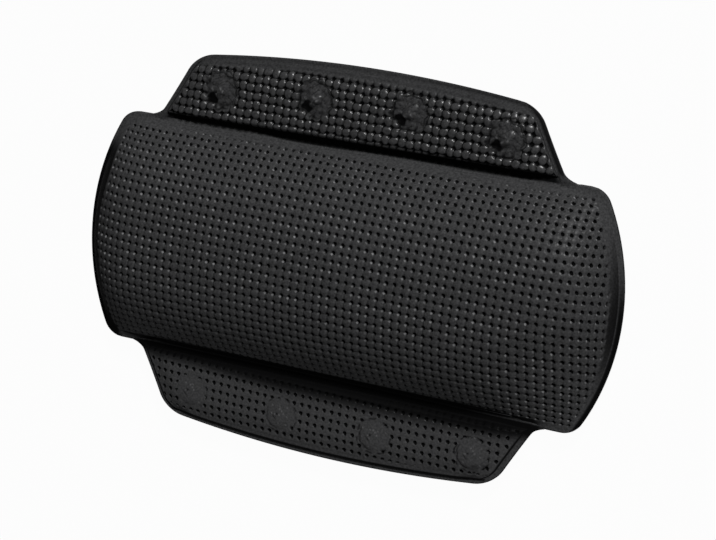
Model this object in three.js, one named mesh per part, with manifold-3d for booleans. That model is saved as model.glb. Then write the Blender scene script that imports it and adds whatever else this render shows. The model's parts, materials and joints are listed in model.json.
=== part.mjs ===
// Bath pillow: a half-round foam pad welded between two vinyl sheets, with a folding flap
// along each long side and four captive suction cups behind each flap.
// Millimetres. X runs along the roll, Y across it towards the upper flap, Z out of the front.
// The origin is under the middle of the pad, on the plane of the suction cups' lips.

import * as THREE from 'three';
import { mergeVertices } from 'three/addons/utils/BufferGeometryUtils.js';
import Module from 'manifold-3d';

// Pad
const PAD_LENGTH = 317;
const PAD_WIDTH = 126;
const PAD_END_RADIUS = 127;
const PAD_CORNER_RADIUS = 12;
const PAD_RISE = 27.5;
const PAD_END_FLANGE = 2.5;
const PAD_SIDE_FLANGE = 1;
const ARCH_POWER = 3;
const END_POWER = 11;

// Sheets and foam
const BACK_SHEET = 1.2;
const COVER_SHEET = 1.6;
const FOAM_EDGE = 0.4;
const FOAM_INSET = 1.8;
const FIT_GAP = 0.3;

// Welded web that each flap folds on
const WEB_WIDTH = 2.7;
const WEB_THICKNESS = 1.5;

// Flap
const FLAP_DEPTH = 42;
const FLAP_ROOT_WIDTH = 239;
const FLAP_END_WIDTH = 200;
const FLAP_BOW = 6.6;
const FLAP_CORNER_RADIUS = 16;
const FLAP_BORDER = 5.5;
const FLAP_ROOT_MARGIN = 1.5;
const FLAP_ROLL = 7;

// Suction cup, one soft moulding: bell, neck, head disc and button
const CUP_DIAMETER = 32;
const CUP_HEIGHT = 9;
const CUP_CAVITY = 7;
const CUP_LIP_WIDTH = 1.8;
const CUP_LIP_THICKNESS = 0.9;
const CUP_SHOULDER_DIAMETER = 11;
const CUP_NECK_DIAMETER = 7.6;
const CUP_NECK_CLEARANCE = 0.4;
const CUP_HEAD_DIAMETER = 17;
const CUP_HEAD_THICKNESS = 1.2;
const CUP_HEAD_CLEARANCE = 0.5;
const CUP_BUTTON_DIAMETER = 10;
const CUP_BUTTON_TOP_DIAMETER = 7;
const CUP_BUTTON_RISE = 1.6;
const CUP_FLOAT = 1.2;
const CUP_DOME_POWER = 3;
const CUP_SIDE_INSET = 24.5;
const CUP_ROW_SHIFT = 1.5;
const CUPS_PER_FLAP = 4;

// Fineness of the curved surfaces
const PAD_STEPS_ALONG = 20;
const PAD_STEPS_ACROSS = 16;
const FLAP_STEPS_ALONG = 8;
const FLAP_STEPS_ACROSS = 2;
const FLAP_ROLL_STEPS = 3;
const CUP_SEGMENTS = 16;
const CUP_DOME_STEPS = 4;
const HOLE_SEGMENTS = 16;
const WEB_EDGE_SEGMENTS = 6;

// Levels, from the cups' lips upwards
const backBottom = CUP_HEIGHT + FIT_GAP;
const backTop = backBottom + BACK_SHEET;
const coverBottom = backTop + FIT_GAP;
const flangeTop = coverBottom + COVER_SHEET;
const headBottom = backTop + FIT_GAP + CUP_FLOAT;
const headTop = headBottom + CUP_HEAD_THICKNESS;
const buttonTop = headTop + CUP_BUTTON_RISE;
const flapRise = buttonTop + FIT_GAP - coverBottom;

// Lines across the object, from the middle outwards
const padHalfWidth = PAD_WIDTH / 2;
const hingeY = padHalfWidth + FIT_GAP + WEB_WIDTH;
const hingeZ = (backBottom + flangeTop) / 2;
const flapRootY = hingeY + WEB_THICKNESS / 2 + FIT_GAP;
const flapTipY = hingeY + FLAP_DEPTH;

const vinyl = { color: 0x2b2c2e, roughness: 0.55, metalness: 0 };
const backVinyl = { color: 0x242527, roughness: 0.7, metalness: 0 };
const foam = { color: 0xd9d3c2, roughness: 0.95, metalness: 0 };
const softPvc = { color: 0x303234, roughness: 0.35, metalness: 0 };

const wasm = await Module();
wasm.setup();

function namedMesh(name, geometry, finish) {
  const mesh = new THREE.Mesh(geometry, new THREE.MeshStandardMaterial(finish));
  mesh.name = name;
  return mesh;
}

// A closed mesh as a solid that can be cut
function toManifold(geometry) {
  const bare = geometry.clone();
  bare.deleteAttribute('normal');
  bare.deleteAttribute('uv');
  const merged = mergeVertices(bare);
  return new wasm.Manifold(new wasm.Mesh({
    numProp: 3,
    vertProperties: new Float32Array(merged.attributes.position.array),
    triVerts: new Uint32Array(merged.index.array),
  }));
}

function fromManifold(solid) {
  const mesh = solid.getMesh();
  const geometry = new THREE.BufferGeometry();
  geometry.setAttribute('position', new THREE.BufferAttribute(mesh.vertProperties, 3));
  geometry.setIndex(new THREE.BufferAttribute(mesh.triVerts, 1));
  geometry.computeVertexNormals();
  return geometry;
}

function solidGeometry(positions, triangles) {
  const geometry = new THREE.BufferGeometry();
  geometry.setAttribute('position', new THREE.Float32BufferAttribute(positions, 3));
  geometry.setIndex(triangles);
  geometry.computeVertexNormals();
  return geometry;
}

// Points around the edge of a grid of rows, anticlockwise seen from above
function rimOf(grid) {
  const last = grid[0].length - 1;
  const right = grid.slice(1).map((row) => row[last]);
  const left = grid.slice(1, -1).map((row) => row[0]);
  const far = grid[grid.length - 1].slice(0, -1);
  return [...grid[0], ...right, ...far.reverse(), ...left.reverse()];
}

// A sheet with a top and a bottom surface, each a grid of points, closed round its edge
function sheetSolid(top, bottom) {
  const rows = top.length;
  const columns = top[0].length;
  const positions = [...top, ...bottom].flat(2);
  const below = rows * columns;
  const triangles = [];
  const at = (row, column) => row * columns + column;
  for (let row = 0; row < rows - 1; row += 1) {
    for (let column = 0; column < columns - 1; column += 1) {
      const a = at(row, column);
      const b = at(row, column + 1);
      const c = at(row + 1, column + 1);
      const d = at(row + 1, column);
      triangles.push(a, b, c, a, c, d);
      triangles.push(below + a, below + c, below + b, below + a, below + d, below + c);
    }
  }
  const numbers = top.map((row, r) => row.map((point, c) => at(r, c)));
  const rim = rimOf(numbers);
  rim.forEach((a, i) => {
    const b = rim[(i + 1) % rim.length];
    triangles.push(below + a, below + b, b, below + a, b, a);
  });
  return solidGeometry(positions, triangles);
}

// A mound with a grid of points on top and a flat floor
function moundSolid(top, floorZ) {
  const columns = top[0].length;
  const positions = top.flat(2);
  const triangles = [];
  for (let row = 0; row < top.length - 1; row += 1) {
    for (let column = 0; column < columns - 1; column += 1) {
      const a = row * columns + column;
      const d = a + columns;
      triangles.push(a, a + 1, d + 1, a, d + 1, d);
    }
  }
  const rim = rimOf(top.map((row, r) => row.map((point, c) => r * columns + c)));
  const floor = positions.length / 3;
  rimOf(top).forEach(([x, y]) => positions.push(x, y, floorZ));
  const middleRow = top[Math.floor(top.length / 2)];
  const [middleX, middleY] = middleRow[Math.floor(columns / 2)];
  const middle = positions.length / 3;
  positions.push(middleX, middleY, floorZ);
  rim.forEach((a, i) => {
    const next = (i + 1) % rim.length;
    triangles.push(floor + i, floor + next, rim[next], floor + i, rim[next], a);
    triangles.push(middle, floor + next, floor + i);
  });
  return solidGeometry(positions, triangles);
}

// A flat sheet of the given outline, with round holes at the given places.
// An arc of a path is drawn with two lines for each of its segments.
function flatSheet(outline, bottomZ, thickness, holes, holeRadius) {
  const shape = new THREE.Shape(outline.map(([x, y]) => new THREE.Vector2(x, y)));
  holes.forEach(({ x, y }) => {
    const hole = new THREE.Path();
    hole.absarc(x, y, holeRadius, 0, 2 * Math.PI, true);
    shape.holes.push(hole);
  });
  const settings = { depth: thickness, bevelEnabled: false, curveSegments: HOLE_SEGMENTS / 2 };
  const geometry = new THREE.ExtrudeGeometry(shape, settings);
  geometry.translate(0, 0, bottomZ);
  return geometry;
}

// Steps from -1 to 1 that crowd towards both ends
function easedSteps(count) {
  return Array.from({ length: count + 1 }, (_, i) => Math.sin(Math.PI * (i / count - 0.5)));
}

// Half the pad's length at a place across it: an end arc that rolls into a corner arc
function padHalfLength(y, halfWidth, endInset, cornerRadius) {
  const arcRadius = PAD_END_RADIUS - endInset;
  const arcCentre = PAD_LENGTH / 2 - PAD_END_RADIUS;
  const cornerY = halfWidth - cornerRadius;
  const cornerX = arcCentre + Math.sqrt((arcRadius - cornerRadius) ** 2 - cornerY ** 2);
  const tangentY = cornerY * arcRadius / (arcRadius - cornerRadius);
  const across = Math.abs(y);
  if (across <= tangentY) return arcCentre + Math.sqrt(arcRadius ** 2 - across ** 2);
  return cornerX + Math.sqrt(Math.max(0, cornerRadius ** 2 - (across - cornerY) ** 2));
}

const padEdgeHalfLength = (y) => padHalfLength(y, padHalfWidth, 0, PAD_CORNER_RADIUS);

// The half-round of the pad as a grid of points, drawn in from the outer skin by an inset
function padArch(inset, baseZ, rise) {
  const halfWidth = padHalfWidth - PAD_SIDE_FLANGE - inset;
  const endInset = PAD_END_FLANGE + inset;
  const cornerRadius = PAD_CORNER_RADIUS - PAD_SIDE_FLANGE - inset;
  return easedSteps(PAD_STEPS_ACROSS).map((v) => {
    const y = v * halfWidth;
    const halfLength = padHalfLength(y, halfWidth, endInset, cornerRadius);
    const arch = 1 - Math.abs(v) ** ARCH_POWER;
    return easedSteps(PAD_STEPS_ALONG).map((u) => {
      const ends = Math.max(0, 1 - Math.abs(u) ** END_POWER);
      return [u * halfLength, y, baseZ + rise * arch * ends];
    });
  });
}

// The arch with the flat weld flange around it
function padSurface(inset, baseZ) {
  const arch = padArch(inset, baseZ, PAD_RISE);
  const withEnds = arch.map((row) => {
    const y = row[0][1];
    const edge = padEdgeHalfLength(y);
    return [[-edge, y, baseZ], ...row, [edge, y, baseZ]];
  });
  const edgeRow = (row, y) => {
    const edge = padEdgeHalfLength(y);
    return [[-edge, y, baseZ], ...row.map(([x]) => [x, y, baseZ]), [edge, y, baseZ]];
  };
  const first = edgeRow(arch[0], -padHalfWidth);
  const last = edgeRow(arch[arch.length - 1], padHalfWidth);
  return [first, ...withEnds, last];
}

function padFrontCover() {
  return sheetSolid(padSurface(0, flangeTop), padSurface(COVER_SHEET, coverBottom));
}

function padFoamCore() {
  const inset = COVER_SHEET + FOAM_INSET;
  const top = padArch(inset, coverBottom + FOAM_EDGE, PAD_RISE - FIT_GAP - FOAM_EDGE);
  return moundSolid(top, coverBottom);
}

function padBackSheet() {
  return flatSheet(rimOf(padSurface(0, 0)), backBottom, BACK_SHEET, [], 0);
}

// Half the flap's width at a place across it: a slanted side that rolls into a corner arc
function flapHalfWidth(y, inset) {
  const run = (FLAP_END_WIDTH - FLAP_ROOT_WIDTH) / 2;
  const sideLength = Math.hypot(run, FLAP_DEPTH);
  const normalX = FLAP_DEPTH / sideLength;
  const normalY = -run / sideLength;
  const sideAt = (level) => FLAP_ROOT_WIDTH / 2 + run * (level - hingeY) / FLAP_DEPTH - inset / normalX;
  const radius = FLAP_CORNER_RADIUS - inset;
  const cornerY = flapTipY - inset - radius;
  const cornerX = sideAt(cornerY) - radius / normalX;
  if (y <= cornerY + radius * normalY) return sideAt(y);
  return cornerX + Math.sqrt(Math.max(0, radius ** 2 - (y - cornerY) ** 2));
}

// Every piece of a flap bows with its outer edge, more the further it lies from the fold
function bowed([x, y, z]) {
  const share = (y - hingeY) / FLAP_DEPTH;
  return [x, y - share * FLAP_BOW * (x / (FLAP_END_WIDTH / 2)) ** 2, z];
}

// Places along a padded width, as [place, fullness]: a rolled edge, a level middle, a rolled edge
function rolledSteps(low, high, middleSteps) {
  const turns = Array.from({ length: FLAP_ROLL_STEPS + 1 }, (_, i) => i / FLAP_ROLL_STEPS * Math.PI / 2);
  const rise = turns.map((turn) => [low + FLAP_ROLL * (1 - Math.cos(turn)), Math.sin(turn)]);
  const fall = rise.map(([place, fullness]) => [low + high - place, fullness]).reverse();
  const from = low + FLAP_ROLL;
  const step = (high - low - 2 * FLAP_ROLL) / middleSteps;
  const level = Array.from({ length: middleSteps - 1 }, (_, i) => [from + step * (i + 1), 1]);
  return [...rise, ...level, ...fall];
}

// The flap's padding as a grid of points, before the bow
function flapPadding(inset, baseZ, rise) {
  const low = flapRootY + FLAP_ROOT_MARGIN + inset;
  const high = flapTipY - FLAP_BORDER - inset;
  return rolledSteps(low, high, FLAP_STEPS_ACROSS).map(([y, fullAcross]) => {
    const halfWidth = flapHalfWidth(y, FLAP_BORDER + inset);
    return rolledSteps(-halfWidth, halfWidth, FLAP_STEPS_ALONG).map(([x, fullAlong]) => (
      [x, y, baseZ + rise * fullAcross * fullAlong]
    ));
  });
}

// The padding with the flat weld border around it
function flapSurface(inset, baseZ) {
  const padding = flapPadding(inset, baseZ, flapRise);
  const edgeRow = (row, y) => {
    const edge = flapHalfWidth(y, 0);
    return [[-edge, y, baseZ], ...row.map(([x]) => [x, y, baseZ]), [edge, y, baseZ]];
  };
  const withSides = padding.map((row) => {
    const y = row[0][1];
    const edge = flapHalfWidth(y, 0);
    return [[-edge, y, baseZ], ...row, [edge, y, baseZ]];
  });
  const first = edgeRow(padding[0], flapRootY);
  const last = edgeRow(padding[padding.length - 1], flapTipY);
  return [first, ...withSides, last].map((row) => row.map(bowed));
}

// Cup places behind the upper flap: evenly spaced, in the middle of the padding or a little beyond
function cupPlaces() {
  const innerRoot = flapRootY + FLAP_ROOT_MARGIN;
  const innerTip = flapTipY - FLAP_BORDER;
  const rowY = (innerRoot + innerTip) / 2 + CUP_ROW_SHIFT;
  const outermost = flapHalfWidth(rowY, 0) - CUP_SIDE_INSET;
  return Array.from({ length: CUPS_PER_FLAP }, (_, i) => {
    const x = outermost * (2 * i / (CUPS_PER_FLAP - 1) - 1);
    const [, y] = bowed([x, rowY, 0]);
    return { x, y };
  });
}

function flapFrontCover() {
  return sheetSolid(flapSurface(0, flangeTop), flapSurface(COVER_SHEET, coverBottom));
}

function flapBackSheet() {
  const holeRadius = CUP_NECK_DIAMETER / 2 + CUP_NECK_CLEARANCE;
  return flatSheet(rimOf(flapSurface(0, 0)), backBottom, BACK_SHEET, cupPlaces(), holeRadius);
}

// Thin foam insert with a round pocket for each cup's head
function flapFoam() {
  const inset = COVER_SHEET + FOAM_INSET;
  const padding = flapPadding(inset, coverBottom + FOAM_EDGE, flapRise - FIT_GAP - FOAM_EDGE);
  const insert = moundSolid(padding.map((row) => row.map(bowed)), coverBottom);
  const pocketRadius = CUP_HEAD_DIAMETER / 2 + CUP_HEAD_CLEARANCE;
  const pocketHeight = 4 * flapRise;
  const pocketed = cupPlaces().reduce((solid, { x, y }) => {
    const pocket = new THREE.CylinderGeometry(pocketRadius, pocketRadius, pocketHeight, HOLE_SEGMENTS);
    pocket.rotateX(Math.PI / 2);
    pocket.translate(x, y, coverBottom);
    return solid.subtract(toManifold(pocket));
  }, toManifold(insert));
  return fromManifold(pocketed);
}

// The web between pad and flap: a thin strip whose outer edge is round about the fold line
function weldWeb() {
  const half = WEB_THICKNESS / 2;
  const section = new THREE.Shape();
  section.moveTo(-WEB_WIDTH, -half);
  section.lineTo(0, -half);
  section.absarc(0, 0, half, -Math.PI / 2, Math.PI / 2, false);
  section.lineTo(-WEB_WIDTH, half);
  section.closePath();
  const length = 2 * flapHalfWidth(flapRootY, 0);
  const settings = { depth: length, bevelEnabled: false, curveSegments: WEB_EDGE_SEGMENTS };
  const strip = new THREE.ExtrudeGeometry(section, settings);
  strip.translate(0, 0, -length / 2);
  const across = new THREE.Vector3(0, 1, 0);
  const up = new THREE.Vector3(0, 0, 1);
  const along = new THREE.Vector3(1, 0, 0);
  strip.applyMatrix4(new THREE.Matrix4().makeBasis(across, up, along));
  strip.translate(0, hingeY, hingeZ);
  return strip;
}

// Points on a flattened dome, from its crown to its rim
function domeProfile(radius, rimZ, crownZ, fromRadius) {
  return Array.from({ length: CUP_DOME_STEPS + 1 }, (_, i) => {
    const r = fromRadius + (radius - fromRadius) * Math.sin(i / CUP_DOME_STEPS * Math.PI / 2);
    return new THREE.Vector2(r, crownZ - (crownZ - rimZ) * (r / radius) ** CUP_DOME_POWER);
  });
}

function suctionCup() {
  const lipRadius = CUP_DIAMETER / 2;
  const shoulder = CUP_SHOULDER_DIAMETER / 2;
  const neck = CUP_NECK_DIAMETER / 2;
  const head = CUP_HEAD_DIAMETER / 2;
  const button = CUP_BUTTON_DIAMETER / 2;
  const inside = domeProfile(lipRadius - CUP_LIP_WIDTH, 0, CUP_CAVITY, 0);
  const outside = domeProfile(lipRadius, CUP_LIP_THICKNESS, CUP_HEIGHT, shoulder).reverse();
  const profile = [
    ...inside,
    new THREE.Vector2(lipRadius, 0),
    ...outside,
    new THREE.Vector2(shoulder, CUP_HEIGHT),
    new THREE.Vector2(neck, CUP_HEIGHT),
    new THREE.Vector2(neck, headBottom),
    new THREE.Vector2(head, headBottom),
    new THREE.Vector2(head, headTop),
    new THREE.Vector2(button, headTop),
    new THREE.Vector2(CUP_BUTTON_TOP_DIAMETER / 2, buttonTop),
    new THREE.Vector2(0, buttonTop),
  ];
  const bell = new THREE.LatheGeometry(profile, CUP_SEGMENTS);
  bell.rotateX(Math.PI / 2);
  return bell;
}

// One flap with its web and its cups, numbered from left to right
function flapAssembly(side, turned) {
  const flap = new THREE.Group();
  flap.rotation.z = turned ? Math.PI : 0;
  flap.add(namedMesh(`${side}_weld_web`, weldWeb(), vinyl));
  flap.add(namedMesh(`${side}_flap_front_cover`, flapFrontCover(), vinyl));
  flap.add(namedMesh(`${side}_flap_foam`, flapFoam(), foam));
  flap.add(namedMesh(`${side}_flap_back_sheet`, flapBackSheet(), backVinyl));
  cupPlaces().forEach(({ x, y }, i) => {
    const number = turned ? CUPS_PER_FLAP - i : i + 1;
    const cup = namedMesh(`${side}_suction_cup_${number}`, suctionCup(), softPvc);
    cup.position.set(x, y, 0);
    flap.add(cup);
  });
  return flap;
}

const pillow = new THREE.Group();
pillow.add(namedMesh('pad_front_cover', padFrontCover(), vinyl));
pillow.add(namedMesh('pad_foam_core', padFoamCore(), foam));
pillow.add(namedMesh('pad_back_sheet', padBackSheet(), backVinyl));
pillow.add(flapAssembly('upper', false));
pillow.add(flapAssembly('lower', true));

export default pillow;
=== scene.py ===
# %% [markdown]
# # A bath pillow with two folding suction flaps
# The pillow is two sheets of vinyl welded together round foam: a thick arched pad in the middle and
# a thin padded flap along each long side. A weld line between pad and flap works as a hinge, and
# each flap carries four suction cups on its back.

import json
import math

import bpy
import numpy as np
from mathutils import Matrix, Vector


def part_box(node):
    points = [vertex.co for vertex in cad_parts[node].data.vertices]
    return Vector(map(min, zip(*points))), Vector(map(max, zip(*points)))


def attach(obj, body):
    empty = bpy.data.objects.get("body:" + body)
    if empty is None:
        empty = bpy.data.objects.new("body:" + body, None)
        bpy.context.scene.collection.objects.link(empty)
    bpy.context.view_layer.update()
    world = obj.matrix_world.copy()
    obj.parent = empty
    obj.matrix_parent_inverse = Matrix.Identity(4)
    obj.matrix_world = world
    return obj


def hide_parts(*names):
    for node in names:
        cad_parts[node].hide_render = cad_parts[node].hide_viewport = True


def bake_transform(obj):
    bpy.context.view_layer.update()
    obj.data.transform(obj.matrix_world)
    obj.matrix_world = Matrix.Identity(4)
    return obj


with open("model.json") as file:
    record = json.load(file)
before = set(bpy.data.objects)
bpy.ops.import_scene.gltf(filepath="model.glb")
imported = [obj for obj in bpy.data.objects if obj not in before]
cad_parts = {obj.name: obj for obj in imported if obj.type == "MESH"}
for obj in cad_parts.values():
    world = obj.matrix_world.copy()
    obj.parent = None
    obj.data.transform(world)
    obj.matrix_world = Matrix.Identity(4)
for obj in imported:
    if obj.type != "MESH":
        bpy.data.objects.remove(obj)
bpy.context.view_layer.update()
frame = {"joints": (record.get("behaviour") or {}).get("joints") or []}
MM = 0.001

# %% [markdown]
# The main sizes come from the frame, so that every piece sits where its solid does. Only the curves
# of the outline, which a box can't tell, are written further down as radii and lengths.

# %% Sizes that the pieces share
pad_low, pad_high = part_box("pad_front_cover")
flap_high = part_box("upper_flap_front_cover")[1]
HALF_LENGTH, HALF_WIDTH, CROWN = pad_high
SEAM = pad_low.z
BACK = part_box("pad_back_sheet")[0].z
WELD_TOP = SEAM + 1.5 * MM
HINGE = next(j for j in frame["joints"] if j["name"] == "upper_flap_fold")["pos_m"]
ROOT, TIP, FLAP_CROWN = HINGE[1], flap_high.y, flap_high.z
print("pad mm:", [round(2 * v / MM) for v in (HALF_LENGTH, HALF_WIDTH)], "crown", round(CROWN / MM, 1))

# %% [markdown]
# One small helper does much of the shaping. It eases softly from 0 to 1 between two values, for
# anything that starts or fades out. Given the higher value first, it eases from 1 to 0.

# %% Helper for easing


def ease(low, high, value):
    t = np.clip((value - low) / (high - low), 0, 1)
    return t * t * (3 - 2 * t)


print("a quarter of the way:", float(ease(0, 1, 0.25)))

# %% [markdown]
# A sheet of vinyl is laid over a mould before it is welded. Here a grid primitive is laid on rows of
# points in the same way, since a formula can say where every strand of the weave lies. A second
# helper lists the points round the edge of such a sheet.

# %% Helpers for laying a sheet


def lay_sheet(name, points):
    rows, columns, _ = points.shape
    bpy.ops.object.select_all(action="DESELECT")
    bpy.ops.mesh.primitive_grid_add(x_subdivisions=columns - 1, y_subdivisions=rows - 1, size=1)
    sheet = bpy.context.object
    sheet.name = sheet.data.name = name
    sheet.data.vertices.foreach_set("co", points.astype(np.float32).ravel())
    sheet.data.update()
    return sheet


def edge_ring(points):
    return np.concatenate([points[0, :-1], points[:-1, -1], points[-1, :0:-1], points[:0:-1, 0]])


print("points round a grid of 3 by 4:", len(edge_ring(np.zeros((3, 4, 3)))))

# %% [markdown]
# A welded edge is thin, flat and rounded over. It is extruded from the open edge of the sheet, one
# ring at a time. Each new corner starts where the old one is, so that its place tells which point of
# the next ring it belongs to.

# %% Helpers for the welded rim


def select_open_edges():
    bpy.ops.mesh.select_mode(type="EDGE")
    bpy.ops.mesh.select_all(action="DESELECT")
    bpy.ops.mesh.select_non_manifold(
        extend=False, use_wire=False, use_boundary=True,
        use_multi_face=False, use_non_contiguous=False, use_verts=False,
    )


def extrude_rings(sheet, rings):
    bpy.context.view_layer.objects.active = sheet
    for near, far in zip(rings, rings[1:]):
        before = len(sheet.data.vertices)
        bpy.ops.object.mode_set(mode="EDIT")
        select_open_edges()
        bpy.ops.mesh.extrude_edges_move()
        bpy.ops.object.mode_set(mode="OBJECT")
        place = {p.tobytes(): k for k, p in enumerate(near.astype(np.float32))}
        flat = np.empty(len(sheet.data.vertices) * 3, np.float32)
        sheet.data.vertices.foreach_get("co", flat)
        corners = flat.reshape(-1, 3)
        order = [place[c.tobytes()] for c in corners[before:]]
        corners[before:] = far.astype(np.float32)[order]
        sheet.data.vertices.foreach_set("co", corners.ravel())
    sheet.data.update()
    print(sheet.name, "rings extruded:", len(rings) - 1)


# %% [markdown]
# Vinyl has a thickness, and a cover that is open below would show it as a bare edge. A lining laid
# inside and bridged to the last ring of the rim closes the sheet. Solidify would do it too, but it
# would double every face of the weave, where the lining can do with a few.

# %% Helpers for the inside of a sheet


def make_active(piece):
    bpy.ops.object.select_all(action="DESELECT")
    piece.select_set(True)
    bpy.context.view_layer.objects.active = piece


def line_inside(sheet, points):
    lining = lay_sheet("lining", points)
    lining.data.flip_normals()
    make_active(sheet)
    lining.select_set(True)
    bpy.ops.object.join()
    bpy.ops.object.mode_set(mode="EDIT")
    select_open_edges()
    bpy.ops.mesh.bridge_edge_loops()
    bpy.ops.mesh.select_all(action="SELECT")
    bpy.ops.mesh.normals_make_consistent(inside=False)
    bpy.ops.object.mode_set(mode="OBJECT")
    bpy.ops.object.shade_smooth()
    print(sheet.name, "lined, faces:", len(sheet.data.polygons))


# %% [markdown]
# ## The weave
# The vinyl is embossed with a plain weave: strands that go over and under each other, with a small
# pit at each corner between them. It lies about one and a half degrees askew on the sheet, as the
# photograph shows. Every place gets two weave numbers, across and along, and a place where both are
# whole is a pit.

# %% The numbers of the weave
STRAND_X, STRAND_Y = 4.595 * MM, 4.807 * MM
WEAVE_TURN, WEAVE_SKEW = -0.0258, -0.0101
FIRST_COLUMN, FIRST_ROW = 0.483, 0.459
TURN_COS, TURN_SIN = math.cos(WEAVE_TURN), math.sin(WEAVE_TURN)


def weave_numbers(x, y):
    down = y * TURN_COS - x * TURN_SIN
    over = x * TURN_COS + y * TURN_SIN - WEAVE_SKEW * down
    return over / STRAND_X + FIRST_COLUMN, down / STRAND_Y + FIRST_ROW


def weave_place(across, along):
    down = (along - FIRST_ROW) * STRAND_Y
    over = (across - FIRST_COLUMN) * STRAND_X + WEAVE_SKEW * down
    return over * TURN_COS - down * TURN_SIN, over * TURN_SIN + down * TURN_COS


print("first pit at mm:", [round(v / MM, 2) for v in weave_place(0, 0)])

# %% [markdown]
# A bump map would look flat from the side, so the weave is real relief. Each square of it has one
# strand on top, which lies across in one square and along in the next. Its height is that of a long
# cushion.

# %% The strands


def strands(across, along, long, short, power):
    """The height, 0 to 1, of the strand that comes to the top in each square of the weave."""
    height = np.zeros_like(across)
    for step_x, step_y in ((0, 0), (1, 0), (-1, 0), (0, 1), (0, -1)):
        square_x, square_y = np.floor(across) + step_x, np.floor(along) + step_y
        level = (square_x + square_y) % 2 == 0
        u = np.abs(across - square_x - 0.5) / np.where(level, long, short)
        v = np.abs(along - square_y - 0.5) / np.where(level, short, long)
        height = np.maximum(height, np.sqrt(np.clip(1 - u**power - v**power, 0, 1)))
    return height


print("height of a strand's middle:", float(strands(np.array(0.5), np.array(0.5), 0.58, 0.50, 3.0)))

# %% [markdown]
# The pits are round dents, a little softer at the rim. A pressed sheet is never even, so each square
# of the weave also has its own bit of luck. It comes from a formula, so that it is always the same.

# %% The pits and the luck of each square
PIT_NARROW, PIT_WIDE = 0.11, 0.26


def pit_depth(across, along):
    """1 at the bottom of a pit and 0 outside it."""
    from_pit = np.hypot(across - np.round(across), along - np.round(along))
    return 1 - ease(PIT_NARROW, PIT_WIDE, from_pit)


def luck(across, along):
    """A number from 0 to 1 for each square of the weave."""
    value = np.sin(np.floor(across) * 12.9898 + np.floor(along) * 78.233) * 43758.5453
    return value - np.floor(value)


print("luck of four squares:", [round(float(luck(k, 0)), 2) for k in range(4)])

# %% [markdown]
# The finish has to know where the pits are. Each corner of a sheet keeps its weave numbers, how much
# of the weave shows there, how much shade is painted on it, how much it is polished by touch, how
# strong the highlights painted on the rims of its pits are, and how much other painted light it gets.

# %% Helper that notes the weave on a sheet


def note_weave(piece, across, along, **noted):
    count = len(piece.data.vertices)
    numbers = np.zeros((count, 3), np.float32)
    numbers[: across.size, 0], numbers[: across.size, 1] = across.ravel(), along.ravel()
    weave = piece.data.attributes.new("weave", "FLOAT_VECTOR", "POINT")
    weave.data.foreach_set("vector", numbers.ravel())
    for name, values in noted.items():
        kept = np.zeros(count, np.float32)
        kept[: values.size] = values.ravel()
        piece.data.attributes.new(name, "FLOAT", "POINT").data.foreach_set("value", kept)
    print(piece.name, "notes:", ", ".join(noted))


# %% [markdown]
# ## The pad
# The outline of the pad has two long straight sides, ends that are arcs of a large circle, and round
# corners. Beyond the flaps the welded edge is a little wider, which makes the pad's four shoulders.
# The foot is the line inside the weld where the arch starts.

# %% The pad's outline
END_RADIUS, CORNER_RADIUS = 127 * MM, 12.5 * MM
END_WELD, SIDE_WELD = 2.5 * MM, 1.0 * MM
SHOULDER, SHOULDER_FROM, SHOULDER_TO = 2.0 * MM, 119 * MM, 126 * MM
SHOULDER_Y = HALF_WIDTH + SHOULDER
FOOT_LENGTH, FOOT_WIDTH = HALF_LENGTH - END_WELD, HALF_WIDTH - SIDE_WELD
FOOT_CORNER = CORNER_RADIUS - 1 * MM


def pad_half_length(y, length, width, radius, corner):
    centre = length - radius
    corner_y = width - corner
    corner_x = centre + math.sqrt((radius - corner) ** 2 - corner_y**2)
    y = np.abs(y)
    on_end = centre + np.sqrt(np.maximum(radius**2 - y**2, 0))
    on_corner = corner_x + np.sqrt(np.maximum(corner**2 - (y - corner_y) ** 2, 0))
    return np.where(y < corner_y * radius / (radius - corner), on_end, on_corner)


def foot_x(y):
    return pad_half_length(y, FOOT_LENGTH, FOOT_WIDTH, END_RADIUS - END_WELD, FOOT_CORNER)


def edge_x(y):
    return pad_half_length(y, HALF_LENGTH, SHOULDER_Y, END_RADIUS, CORNER_RADIUS)


def shoulder_y(x):
    return HALF_WIDTH + SHOULDER * ease(SHOULDER_FROM, SHOULDER_TO, np.abs(x))


print("foot's half length mm:", round(float(foot_x(0)) / MM, 1))

# %% [markdown]
# The pad's cover is an arch that is steep along the sides and rolls down to the weld at the ends. A
# power of the distance from the middle gives both: the higher it is, the flatter the top and the
# steeper the side. At the lower right corner the foam is softer, so the powers are lower there.

# %% The pad's height
ARCH_POWER, END_POWER = 3.0, 11.0
ARCH_SLUMP, END_SLUMP = 1.1, 5.0
RISE = CROWN - WELD_TOP


def slump(x, y):
    """1 at the lower right corner, where the foam is softer and the arch lies flatter."""
    return ease(65 * MM, 130 * MM, x) * ease(10 * MM, -35 * MM, y)


def pad_height(x, y):
    soft = slump(x, y)
    arch = 1 - np.minimum(np.abs(y) / FOOT_WIDTH, 1) ** (ARCH_POWER - ARCH_SLUMP * soft)
    end = 1 - np.minimum(np.abs(x) / foot_x(y), 1) ** (END_POWER - END_SLUMP * soft)
    return WELD_TOP + RISE * arch * end


print("arch rises mm:", round(RISE / MM, 1))

# %% [markdown]
# The strands keep their width over the curve, so rows and columns are spaced along the surface and
# not along the floor. A walk from the middle to the foot, in small steps, gives a table of how far
# each place lies along the surface.

# %% Distances along the surface


def walk(reach, steps, height):
    flat = np.linspace(0, reach, steps)
    step = np.hypot(np.diff(flat), np.diff(height(flat)))
    return flat, np.concatenate([[0], np.cumsum(step)])


def look_up(value, known, wanted):
    """Read a table that holds the positive half only."""
    return np.sign(value) * np.interp(np.abs(value), known, wanted)


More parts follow.
